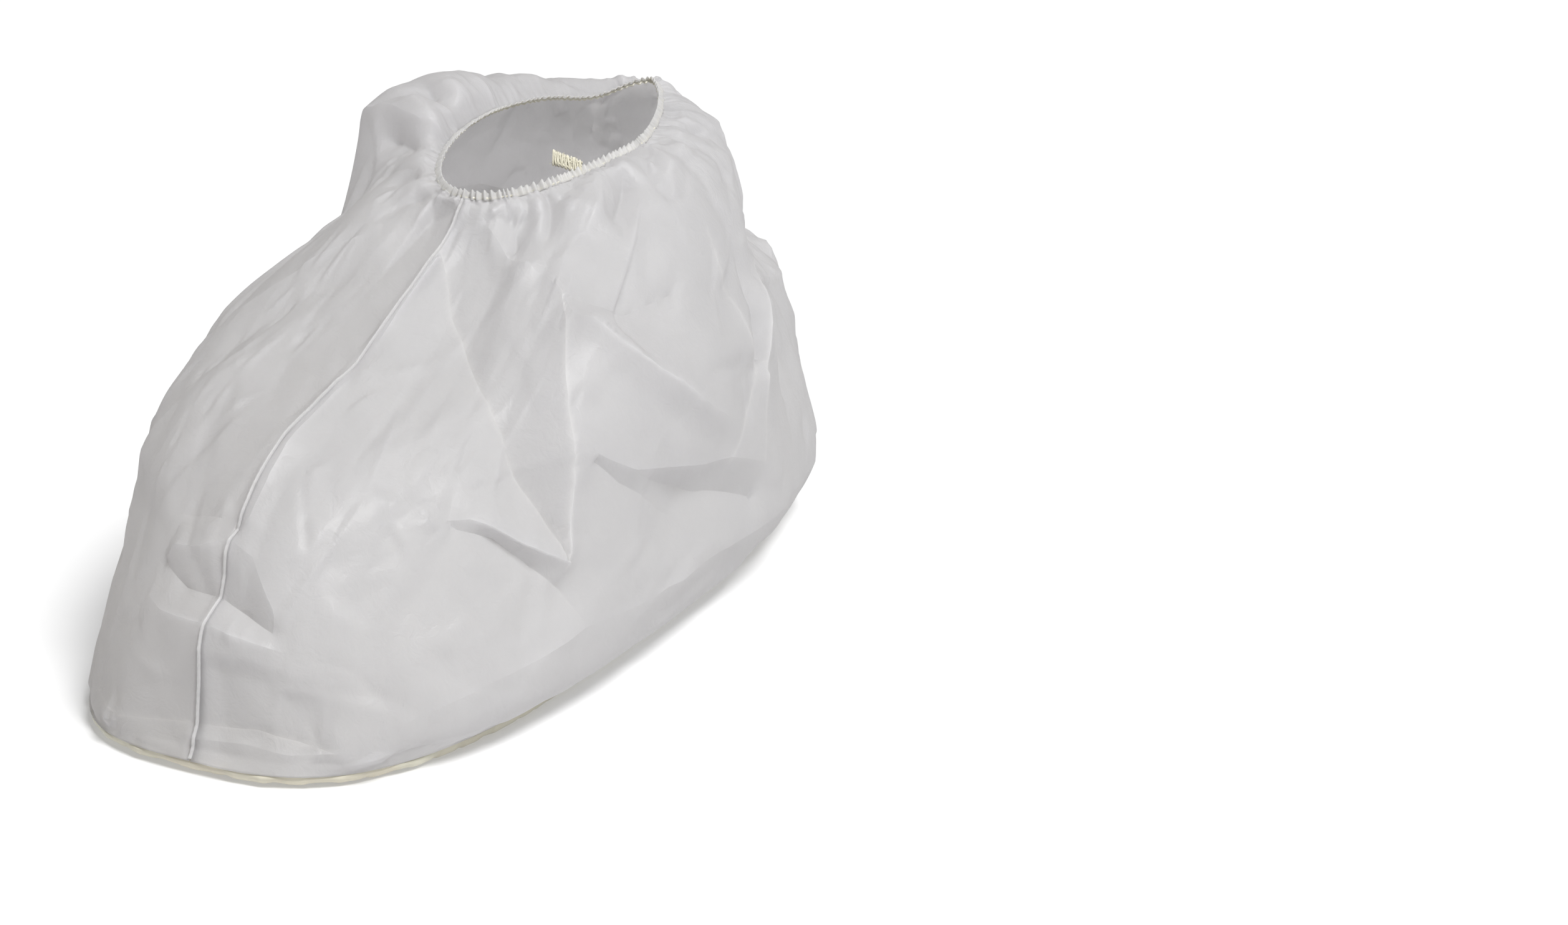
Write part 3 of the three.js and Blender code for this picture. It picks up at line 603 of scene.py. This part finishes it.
def makePanel(name, side, material):
    creases, folds, pinches = panelRows[side]
    rng = np.random.default_rng(panel["seed"] + side)
    around, up, stand, held = snapToCreases(creases)
    lift = spreadStand(stand, held, up).ravel()
    around, up, held = around.ravel(), up.ravel(), held.ravel()
    base, out = smoothPoint(side, around, up), smoothNormal(side, around, up)
    seamAway = np.minimum(around, 2 - around) * panel["span"][0]
    nearSeam = ramp(1 - seamAway / panel["seamFade"])
    out[:, 0] *= 1 - nearSeam
    out = unit(out)
    handling = np.random.default_rng(paper["seed"] + side)
    rows = folds + crinkleRows(pinches, rng) + paperRows(handling) + crinkleRows(heelPinches, handling)
    small = foldLift(side, around, up, base, rows) + crumpleLift(around, up, rng)
    small += gatherLift(side, around, up, rng) + puckerLift(around, up, rng)
    points = base + out * (lift + small * (1 - nearSeam))[:, None]
    points[:, 0] += side * panel["seamHalf"] * ramp(1 - seamAway / panel["seamReach"])
    lap = ramp(1 - up / panel["lapReach"]) * panel["lap"]
    points += out * lap[:, None]
    points[:, 2] -= lap
    mesh, spots = gridMesh(panel["columns"], panel["rows"])
    cell = np.round(spots * (panel["columns"], panel["rows"])).astype(int)
    number = cell[:, 0] * (panel["rows"] + 1) + cell[:, 1]
    moveVerts(mesh.verts, points[number])
    layer = mesh.verts.layers.float.new("creaseWearAndHighlight")
    for vert, value in zip(mesh.verts, creaseWearAndHighlight(side, base, creases)[number]):
        vert[layer] = value
    if side < 0:
        bmesh.ops.reverse_faces(mesh, faces=mesh.faces)
    verts, held = list(mesh.verts), held[number]
    loose = [vert for vert, fixed in zip(verts, held) if not fixed and not vert.is_boundary]
    bmesh.ops.smooth_vert(mesh, verts=loose, factor=panel["soften"], use_axis_x=True, use_axis_y=True,
                          use_axis_z=True)
    creased = {vert for vert, fixed in zip(verts, held) if fixed}
    bmesh.ops.connect_verts(mesh, verts=list(creased))
    mesh.normal_update()
    for edge in mesh.edges:
        if creased.issuperset(edge.verts) and edge.calc_face_angle(0) > math.radians(panel["sharp"]):
            edge.smooth = False
    piece = finishPiece(name, mesh, material, "cloth", name)
    addWall(piece, panel["wall"])
    return piece


# The sole: a vinyl sheet with an embossed leather grain, turned up at its edge
sole = dict(
    seed=7, halfLength=185.0, halfWidth=83.0, square=3.0, columns=124, rows=276, wall=1.0, crowd=1.35,
    rimRun=[0, 1.3, 2.8, 4.4, 6.6, 9.5], rimInset=[0.9, 0.15, 0.2, 1.1, 3.1, 5.9],
    rimHeight=[5.3, 4.2, 2.7, 1.3, 0.4, 0], innerShare=0.4, innerRun=60.0, innerFade=0.25, reliefStart=5.0,
)
grain = dict(
    across=12.0, along=8.5, margin=10.0, jitter=(0.05, 0.95), toeStart=-95.0, toeSkip=0.45, groove=0.42, width=1.5,
    plateStart=70.0, plateReach=70.0, plateGroove=1.8, shallowest=0.75, deeper=0.5, plainTone=0.3,
)
rib = dict(height=0.35, pitch=5.5, run=240.0, swayBeats=31, reach=16.0)
ripple = dict(
    height=0.8, beats=23, drift=1.3, driftBeats=7, share=0.6, fineBeats=41, fineStart=2, reach=9.0, start=1.5,
)


def rimRoll(run):  # the sheet rolls up towards its edge: inset and height for a distance along it
    reach = sole["rimRun"]
    inset = np.interp(run, reach, sole["rimInset"]) + np.maximum(run - reach[-1], 0)
    return inset, np.interp(run, reach, sole["rimHeight"])


def grainCells(points, rng):  # distance from the nearest groove and the tone of the plate
    size = np.array([grain["across"], grain["along"]])
    low = -np.array([sole["halfWidth"], sole["halfLength"]]) - grain["margin"]
    counts = (-2 * low / size).astype(int)
    seeds = []
    for column in range(counts[0]):
        for row in range(counts[1]):
            spot = low + size * ((column + 0.5 * (row % 2), row) + rng.uniform(*grain["jitter"], 2))
            if spot[1] < grain["toeStart"] and rng.uniform() < grain["toeSkip"]:  # larger plates at the toe
                continue
            seeds.append(spot / size)
    tree = kdtree.KDTree(len(seeds))
    for number, seed in enumerate(seeds):
        tree.insert((*seed, 0), number)
    tree.balance()
    edge, tone = np.zeros(len(points)), np.zeros(len(points))
    tones = rng.uniform(0, 1, len(seeds))
    for number, point in enumerate(points[:, :2] / size):
        first, second = tree.find_n((*point, 0), 2)
        edge[number] = (second[2] - first[2]) * size.mean() / 2
        tone[number] = tones[first[1]]
    return edge, tone


def makeSole(material):
    rng = np.random.default_rng(sole["seed"])
    mesh, spots = gridMesh(sole["columns"], sole["rows"])
    square = np.sign(spots * 2 - 1) * (1 - (1 - np.abs(spots * 2 - 1)) ** sole["crowd"])
    reach = np.abs(square).max(1)
    rounded = (np.abs(square) ** sole["square"]).sum(1) ** (1 / sole["square"])
    flat = square * (reach / np.maximum(rounded, 1e-9))[:, None]
    turn = np.arctan2(flat[:, 1], flat[:, 0])
    wave = np.sin(turn * ripple["beats"] + ripple["drift"] * np.sin(turn * ripple["driftBeats"]))
    fine = np.sin(turn * ripple["fineBeats"] + ripple["fineStart"])
    wave = wave * ripple["share"] + fine * (1 - ripple["share"])
    points = np.zeros((len(flat), 3))
    points[:, :2] = flat * (sole["halfWidth"], sole["halfLength"])
    reachHere = np.linalg.norm(points[:, :2], axis=1)
    run = (1 - reach) * reachHere / np.maximum(reach, 1e-9)
    run = np.where(reach > sole["innerShare"], run, sole["innerRun"])
    inset, height = rimRoll(run)
    outer = ramp((reach - sole["innerShare"]) / sole["innerFade"])
    points[:, :2] -= unit(points[:, :2]) * ((inset - run) * outer)[:, None]
    edge, tone = grainCells(points, rng)
    toeward = ramp((-points[:, 1] - grain["plateStart"]) / grain["plateReach"])
    depth = grain["groove"] * (1 + (grain["plateGroove"] - 1) * toeward)
    depth = depth * (grain["shallowest"] + grain["deeper"] * tone)
    groove = depth * np.exp(-(edge / grain["width"]) ** 2)
    ribs = np.abs(np.sin(turn * rib["run"] / rib["pitch"] + np.sin(turn * rib["swayBeats"])))
    relief = groove + rib["height"] * (1 - ribs) * ramp(1 - run / rib["reach"])
    points[:, 2] = height + relief * ramp(run / sole["reliefStart"])
    outward = unit(np.concatenate([flat, np.zeros((len(flat), 1))], 1))
    rim = ramp(1 - run / ripple["reach"]) * ramp(run / ripple["start"])
    points += outward * (wave * ripple["height"] * rim)[:, None]
    moveVerts(mesh.verts, points)
    layer = mesh.verts.layers.float.new("grainDepth")
    toneLayer = mesh.verts.layers.float.new("plateTone")
    tones = tone * (grain["plainTone"] + (1 - grain["plainTone"]) * toeward)
    for vert, value, shade in zip(mesh.verts, relief / grain["groove"], tones):
        vert[layer] = min(value, 1)
        vert[toneLayer] = shade
    bmesh.ops.reverse_faces(mesh, faces=mesh.faces)
    piece = finishPiece("sole", mesh, material, "vinyl", "sole")
    addWall(piece, sole["wall"])
    return piece


# The elastic: a gathered band round the mouth, overcast with thread
elastic = dict(
    seed=11, halfHeight=1.75, halfThickness=0.28, sink=0.7, scallop=0.6, steps=900, sides=12, stitches=230,
    thread=0.13, threads=(0.85, 1.15), stitchJitter=0.004, stitchSlant=0.015, stitchSlants=(0.5, 1.5),
    stitchSteps=9, stitchStart=-20, stitchEnd=-165, cord=0.5, cordPlace=-112, proud=0.6,
)
mergeGap = 0.004
leanAxis = (0.31, 0.17, 0.93)  # no thread runs along it


def bandPoint(turn, angle, lift=0.0, step=0.01):  # angle runs round the band's section: 0 is its free edge
    edge, inward = mouthPlace(turn)
    along = mouthPlace(turn + step)[0] - mouthPlace(turn - step)[0]
    out = unit(np.cross(along, inward))
    stand = ruffleAt(turn)[0]
    height = elastic["halfHeight"] * (np.cos(angle) + 1) - elastic["sink"] + lift * np.cos(angle)
    height = height + elastic["scallop"] * stand * np.maximum(np.cos(angle), 0)
    outside = (elastic["halfThickness"] + lift) * np.sin(angle) + ruffle["height"] * stand
    return edge + inward * height[:, None] + out * outside[:, None]


def addTube(mesh, line, radii, sides=6, ring=False):  # a thread along a line, closed at its ends or into a ring
    line = np.asarray(line, float)
    made = bmesh.ops.create_grid(mesh, x_segments=len(line) - 1, y_segments=sides, size=1)["verts"]
    ahead = np.gradient(line, axis=0)
    if ring:
        ahead[0] = ahead[-1] = line[1] - line[-2]
    ahead = unit(ahead)
    across = unit(np.cross(ahead, leanAxis))
    out = np.cross(across, ahead)
    for vert in made:
        step = round((vert.co.x + 1) / 2 * (len(line) - 1))
        turn = (vert.co.y + 1) * math.pi
        vert.co = line[step] + radii[step] * (across[step] * math.cos(turn) + out[step] * math.sin(turn))
    bmesh.ops.remove_doubles(mesh, verts=made, dist=mergeGap)


def threadRadii(count, radius):  # a thread that closes to a point at both ends
    ends = np.minimum(np.arange(count), np.arange(count)[::-1])
    return radius * ramp(ends)


def makeElastic(material, threadMaterial):
    mesh, spots = gridMesh(elastic["steps"], elastic["sides"])
    moveVerts(mesh.verts, bandPoint(spots[:, 0] * 4, spots[:, 1] * 2 * math.pi))
    bmesh.ops.remove_doubles(mesh, verts=mesh.verts, dist=mergeGap)
    bmesh.ops.recalc_face_normals(mesh, faces=mesh.faces)
    finishPiece("ankle_elastic", mesh, material, "stitching", "ankle_elastic")
    rng = np.random.default_rng(elastic["seed"])
    mesh = bmesh.new()
    steps = np.linspace(0, 1, elastic["stitchSteps"])
    span = elastic["stitchEnd"] - elastic["stitchStart"]
    angles = np.radians(elastic["stitchStart"] + span * steps)
    for place in np.arange(elastic["stitches"]) * 4 / elastic["stitches"]:
        start = place + eitherWay(rng, elastic["stitchJitter"])
        turns = start + steps * vary(rng, elastic, "stitchSlant")
        line = bandPoint(turns, angles, elastic["thread"] * elastic["proud"])
        addTube(mesh, line, threadRadii(len(line), vary(rng, elastic, "thread")))
    turns = np.linspace(0, 4, elastic["steps"] + 1)
    place = np.full(len(turns), math.radians(elastic["cordPlace"]))
    cord = bandPoint(turns, place, elastic["cord"] * elastic["proud"])
    addTube(mesh, cord, np.full(len(turns), elastic["cord"]), ring=True)
    bmesh.ops.recalc_face_normals(mesh, faces=mesh.faces)
    finishPiece("elastic_overcast", mesh, threadMaterial, "stitching")


# The seams: a fine puckered ridge on the outside and the turned-in cloth behind it
seam = dict(
    half=0.62, proud=1.0, allowance=2.8, lean=3.4, slope=0.3, merge=0.001, pitch=2.6, wander=11.0, pucker=0.08,
    sidePucker=0.3, sways=[(0.12, 4.3), (0.05, 1.9)], steps=420, start=0.006, end=0.99,
    ridge=[(-1, -0.5), (-0.95, 0.35), (-0.45, 0.95), (0.45, 0.95), (0.95, 0.35), (1, -0.5)],
)


def makeSeam(name, around, material):
    lean, allowance = seam["lean"], seam["allowance"]
    back = [(lean, -allowance), (lean - 1, -allowance - seam["slope"])]
    section = np.array(seam["ridge"] + back + seam["ridge"][:1])
    mesh, spots = gridMesh(seam["steps"], len(section) - 1)
    rows = np.linspace(seam["start"], seam["end"], seam["steps"] + 1)
    line, out = seamPoint(around, rows)
    run = runAlong(line)
    beat = np.sin(run / seam["pitch"] * 2 * math.pi + np.sin(run / seam["wander"]))
    swell = 1 + seam["pucker"] * beat
    sway = sum(reach * np.sin(run / pace) for reach, pace in seam["sways"])
    step = np.round(spots[:, 0] * seam["steps"]).astype(int)
    corner = section[np.round(spots[:, 1] * (len(section) - 1)).astype(int)]
    height = np.where(corner[:, 1] > 0, corner[:, 1] * seam["proud"] * swell[step], corner[:, 1])
    points = line[step] + out[step] * height[:, None]
    points[:, 0] += corner[:, 0] * seam["half"] * (1 + seam["sidePucker"] * (swell[step] - 1)) + sway[step]
    moveVerts(mesh.verts, points)
    bmesh.ops.remove_doubles(mesh, verts=mesh.verts, dist=seam["merge"])
    bmesh.ops.holes_fill(mesh, edges=mesh.edges, sides=20)
    bmesh.ops.recalc_face_normals(mesh, faces=mesh.faces)
    finishPiece(name, mesh, material, "stitching", name)


# The thread tail: the end of the overcasting chain, lying in the mouth
tail = dict(
    seed=5, turn=0.70, heading=192.0, rise=0.25, lean=118.0, root=0.6, length=12.0, width=5.2, thickness=1.3,
    taper=-0.1, sway=0.5, swayBeats=7, loops=15, loopSteps=17, loopJitter=0.2, loopSlants=(0.02, 0.06),
    loopWidths=(0.85, 1.05), thread=0.34, threads=(0.85, 1.2), chains=4, chainSteps=50, chainLengths=(0.9, 1),
    chainSpread=0.8, chainWave=0.16, chainDepth=0.9, chainShift=2,
)
hair = dict(
    count=40, radius=0.08, length=1.6, lengths=(0.4, 1), steps=7, first=0.1, bend=0.5, ahead=(0.2, 0.5),
    beside=(0, 1), face=(0, 0.5),
)


def makeTail(material):
    rng = np.random.default_rng(tail["seed"])
    edge, inward = mouthPlace(np.array([tail["turn"]]))
    root = edge[0] + inward[0] * (2 * elastic["halfHeight"] - elastic["sink"] - tail["root"])
    heading, lean = math.radians(tail["heading"]), math.radians(tail["lean"])
    ahead = unit(np.array([math.cos(heading), math.sin(heading), tail["rise"]]))
    flat = np.array([-math.sin(heading), math.cos(heading), 0])
    beside = flat * math.cos(lean) + np.array([0, 0, math.sin(lean)])
    face = np.cross(ahead, beside)

    def chainPoint(share, across, through):
        share, across, through = np.broadcast_arrays(share, across, through)
        narrow = tail["width"] / 2 * (1 - tail["taper"] * share ** 2)
        wave = tail["sway"] * np.sin(share * tail["swayBeats"])
        return (root + np.outer(share * tail["length"], ahead) + np.outer(narrow * across, beside)
                + np.outer(tail["thickness"] / 2 * through + wave, face))

    mesh = bmesh.new()
    turns = np.linspace(0, 2 * math.pi, tail["loopSteps"])
    for number in range(tail["loops"]):
        at = (number + 0.5 + eitherWay(rng, tail["loopJitter"])) / tail["loops"]
        slant = rng.uniform(*tail["loopSlants"])
        across = np.cos(turns) * rng.uniform(*tail["loopWidths"])
        line = chainPoint(at + slant * np.cos(turns), across, np.sin(turns))
        addTube(mesh, line, np.full(len(line), vary(rng, tail, "thread")), ring=True)
    share = np.linspace(0, 1, tail["chainSteps"])
    for number in range(tail["chains"]):
        across = ((number + 0.5) / tail["chains"] * 2 - 1) * tail["chainSpread"]
        beat = share * tail["loops"] * 2 * math.pi + number * tail["chainShift"]
        line = chainPoint(share * rng.uniform(*tail["chainLengths"]),
                          across + tail["chainWave"] * np.sin(beat), tail["chainDepth"] * np.cos(beat / 2))
        addTube(mesh, line, threadRadii(len(line), tail["thread"]))
    steps = np.linspace(0, 1, hair["steps"])[:, None]
    for _ in range(hair["count"]):
        start = chainPoint(rng.uniform(hair["first"], 1), rng.uniform(-1, 1), rng.uniform(-1, 1))[0]
        way = unit(ahead * rng.normal(*hair["ahead"]) + beside * rng.normal(*hair["beside"])
                   + face * rng.normal(*hair["face"]))
        bend = unit(rng.normal(0, 1, 3)) * hair["bend"]
        line = start + way * steps * vary(rng, hair, "length") + bend * steps ** 2
        addTube(mesh, line, threadRadii(len(line), hair["radius"]), sides=4)
    bmesh.ops.recalc_face_normals(mesh, faces=mesh.faces)
    finishPiece("thread_tail", mesh, material, "thread", "thread_tail")


# Finishes
def newFinish(name):
    material = bpy.data.materials.new(name)
    material.use_nodes = True
    return material, material.node_tree, material.node_tree.nodes["Principled BSDF"]


def setInputs(tree, node, values):  # each input is set, or joined to another node's output
    for name, value in values.items():
        if isinstance(value, bpy.types.NodeSocket):
            tree.links.new(value, node.inputs[name])
        else:
            node.inputs[name].default_value = value
    return node


def newNode(tree, kind, values):
    return setInputs(tree, tree.nodes.new("ShaderNode" + kind), values)


def noiseNode(tree, scale, detail=4.0, roughness=0.55, distortion=0.0):
    place = tree.nodes.new("ShaderNodeTexCoord").outputs["Object"]
    values = {"Vector": place, "Scale": scale, "Detail": detail, "Roughness": roughness, "Distortion": distortion}
    return newNode(tree, "TexNoise", values).outputs["Fac"]


def rampNode(tree, factor, stops):
    node = newNode(tree, "ValToRGB", {"Fac": factor})
    for element, stop in zip(node.color_ramp.elements, stops):
        element.position, element.color = stop
    return node.outputs["Color"]


def mixColours(tree, factor, first, second):
    mix = tree.nodes.new("ShaderNodeMix")
    mix.data_type = "RGBA"
    return setInputs(tree, mix, {0: factor, 6: first, 7: second}).outputs[2]


def scaledValue(tree, value, low, high):
    return newNode(tree, "MapRange", {"Value": value, "To Min": low, "To Max": high}).outputs["Result"]


def addBump(tree, height, distance, strength, below=None):
    bump = newNode(tree, "Bump", {"Strength": strength, "Distance": distance, "Height": height})
    if below is not None:
        setInputs(tree, bump, {"Normal": below})
    return bump.outputs["Normal"]


def attributeValue(tree, name):
    attribute = tree.nodes.new("ShaderNodeAttribute")
    attribute.attribute_name = name
    return attribute.outputs["Fac"]


# White film-faced cloth: papery, with a faint sheen and creases painted whiter, partly the film's own whitening and
# partly a painted highlight along their crests. Light comes through it.
film = dict(
    wearAndHighlight=(0.93, 0.93, 0.93, 1), wearAndHighlightShare=0.5, roughness=(0.34, 0.52), specular=0.5, sheen=0.08, sheenRoughness=0.4,
    wrinkle=0.00055, wrinkleStrength=0.65, fibre=0.0001, fibreStrength=0.6, glow=(0.905, 0.896, 0.898, 1),
)


def filmCloth(name, dark, light, through):
    material, tree, shader = newFinish(name)
    mottle = noiseNode(tree, scale=45, detail=5, roughness=0.6)
    tint = rampNode(tree, mottle, [(0.35, dark), (0.65, light)])
    # painted highlight, together with the film's whitening, mixed in along the listed creases
    wearAndHighlight = scaledValue(tree, attributeValue(tree, "creaseWearAndHighlight"), 0.0, film["wearAndHighlightShare"])
    wrinkle = noiseNode(tree, scale=150, distortion=1.2)
    fibre = noiseNode(tree, scale=900, detail=3, roughness=0.6)
    normal = addBump(tree, wrinkle, film["wrinkle"], film["wrinkleStrength"])
    surface = addBump(tree, fibre, film["fibre"], film["fibreStrength"], normal)
    setInputs(tree, shader, {
        "Base Color": mixColours(tree, wearAndHighlight, tint, film["wearAndHighlight"]),
        "Roughness": scaledValue(tree, noiseNode(tree, scale=120, detail=3), *film["roughness"]),
        "Specular IOR Level": film["specular"],
        "Sheen Weight": film["sheen"],
        "Sheen Roughness": film["sheenRoughness"],
        "Normal": surface,
    })
    glow = newNode(tree, "BsdfTranslucent", {"Color": film["glow"], "Normal": surface})
    mix = newNode(tree, "MixShader", {"Fac": through, 1: shader.outputs["BSDF"], 2: glow.outputs["BSDF"]})
    setInputs(tree, tree.nodes["Material Output"], {"Surface": mix.outputs["Shader"]})
    return material


# Soft cream vinyl: satin plates, with painted shade darkening the grooves, warmer towards the toe
vinyl = dict(
    dark=(0.66, 0.64, 0.53, 1), light=(0.72, 0.70, 0.585, 1), groove=(0.54, 0.52, 0.42, 1), grooveShadeShare=0.6,
    warm=(0.66, 0.58, 0.46, 1), warmShare=0.45, roughness=(0.28, 0.5), specular=0.5, soft=0.0004, softStrength=0.3,
    grain=0.00008, grainStrength=0.5,
)


def grainVinyl():
    material, tree, shader = newFinish("grainVinyl")
    mottle = noiseNode(tree, scale=60)
    tint = rampNode(tree, mottle, [(0.3, vinyl["dark"]), (0.7, vinyl["light"])])
    # painted shade: the grooves are coloured darker
    depth = scaledValue(tree, attributeValue(tree, "grainDepth"), 0.0, vinyl["grooveShadeShare"])
    colour = mixColours(tree, depth, tint, vinyl["groove"])
    warm = scaledValue(tree, attributeValue(tree, "plateTone"), 0.0, vinyl["warmShare"])
    soft = noiseNode(tree, scale=260, detail=3)
    fine = noiseNode(tree, scale=1100, detail=3, roughness=0.6)
    normal = addBump(tree, soft, vinyl["soft"], vinyl["softStrength"])
    setInputs(tree, shader, {
        "Base Color": mixColours(tree, warm, colour, vinyl["warm"]),
        "Roughness": scaledValue(tree, noiseNode(tree, scale=35, detail=3), *vinyl["roughness"]),
        "Specular IOR Level": vinyl["specular"],
        "Normal": addBump(tree, fine, vinyl["grain"], vinyl["grainStrength"], normal),
    })
    return material


# Spun thread: matt, with fine streaks
thread = dict(
    scale=900, fineScale=2250, roughness=(0.7, 0.95), sheen=0.25, specular=0.2, bump=0.00012, bumpStrength=0.6,
)


def threadFinish(name, dark, light):
    material, tree, shader = newFinish(name)
    streak = noiseNode(tree, thread["scale"], detail=4, roughness=0.7)
    fine = noiseNode(tree, thread["fineScale"], detail=2)
    setInputs(tree, shader, {
        "Base Color": rampNode(tree, streak, [(0.3, dark), (0.7, light)]),
        "Roughness": scaledValue(tree, streak, *thread["roughness"]),
        "Sheen Weight": thread["sheen"],
        "Specular IOR Level": thread["specular"],
        "Normal": addBump(tree, fine, thread["bump"], thread["bumpStrength"]),
    })
    return material


panelTints = ((0.715, 0.72, 0.738, 1), (0.75, 0.755, 0.77, 1))
nearCloth = filmCloth("nearCloth", *panelTints, through=0.69)
farClothPaintedInnerLight = filmCloth("farClothPaintedInnerLight", *panelTints, through=0.74)  # painted light and shade: the same cloth as the near panel made more translucent, so its inside seen through the mouth comes out brighter and its outside a little darker
turnedCloth = filmCloth("turnedCloth", (0.76, 0.76, 0.76, 1), (0.81, 0.81, 0.80, 1), through=0.60)  # hem and seams
soleVinyl = grainVinyl()
overcast = threadFinish("overcastThread", (0.66, 0.64, 0.54, 1), (0.82, 0.80, 0.71, 1))
looseThread = threadFinish("looseThread", (0.60, 0.57, 0.45, 1), (0.78, 0.75, 0.62, 1))
print("finishes ready")

leftPanel = makePanel("left_panel", 1, nearCloth)
rightPanel = makePanel("right_panel", -1, farClothPaintedInnerLight)
soleSheet = makeSole(soleVinyl)
makeElastic(turnedCloth, overcast)
makeSeam("toe_seam", 0, turnedCloth)
makeSeam("heel_seam", 2, turnedCloth)
makeTail(looseThread)

# A plain pale floor and soft studio light
studio = dict(
    floor=8.0, floorDrop=0.0003, floorColour=(0.56, 0.56, 0.56, 1), floorRoughness=0.9, floorGlow=0.3, world=0.15,
    sun=4.2, sunAngle=24.0, sunAzimuth=70.0, sunElevation=62.0, sunDistance=2.0, white=(1, 1, 1, 1),
)


def addStudio():
    mesh = bmesh.new()
    bmesh.ops.create_grid(mesh, x_segments=1, y_segments=1, size=studio["floor"] / 2)
    floor = meshObject("floor", mesh)
    floor.location.z = -studio["floorDrop"]
    material, tree, shader = newFinish("paleFloor")
    setInputs(tree, shader, {
        "Base Color": studio["floorColour"],
        "Roughness": studio["floorRoughness"],
        "Emission Color": studio["white"],
        "Emission Strength": studio["floorGlow"],
    })
    floor.data.materials.append(material)
    world = bpy.data.worlds.new("studio")
    world.use_nodes = True
    tree = world.node_tree
    setInputs(tree, tree.nodes["Background"], {"Color": studio["white"], "Strength": studio["world"]})
    bpy.context.scene.world = world
    lamp = bpy.data.lights.new("softSun", "SUN")
    lamp.energy = studio["sun"]
    lamp.angle = math.radians(studio["sunAngle"])
    sun = addObject("softSun", lamp)
    back = backDirection(studio["sunAzimuth"], studio["sunElevation"])
    sun.location = back * studio["sunDistance"]
    sun.rotation_euler = back.to_track_quat("Z", "Y").to_euler()
    bpy.context.scene.view_settings.view_transform = "Standard"


addStudio()
print("studio lit")
